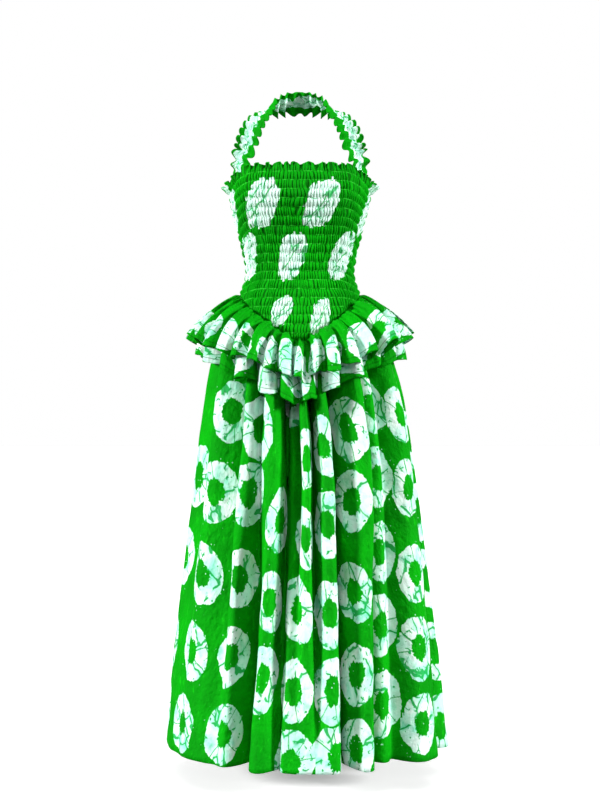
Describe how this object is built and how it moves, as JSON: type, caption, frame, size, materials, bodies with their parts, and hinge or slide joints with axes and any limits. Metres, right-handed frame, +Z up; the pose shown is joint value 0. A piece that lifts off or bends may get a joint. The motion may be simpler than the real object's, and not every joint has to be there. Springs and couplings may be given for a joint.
{
  "type": "ankara wax print dress",
  "caption": "Long wax print dress with a shirred bodice, ruffled halter strap, tiered gathered peplum and full gathered skirt, in its worn form.",
  "frame": {"origin": "on the axis of the wearer's neck, level with the halter where it lies round the nape", "axes": "+Z up, the front of the dress faces -Y, +X is to the right as seen from the front"},
  "size_m": [0.6462, 0.633, 1.4897],
  "materials": {
    "shirred_green": "matt cotton, green with a white ring print",
    "ring_print": "matt cotton, white rings on green"
  },
  "bodies": {
    "root": {"bodice_front": "shirred_green", "bodice_back": "shirred_green", "halter_strap": "ring_print", "peplum_upper_front": "ring_print", "peplum_upper_back": "ring_print", "peplum_lower_front": "ring_print", "peplum_lower_back": "ring_print", "skirt_front": "shirred_green", "skirt_back": "shirred_green"}
  },
  "joints": []
}
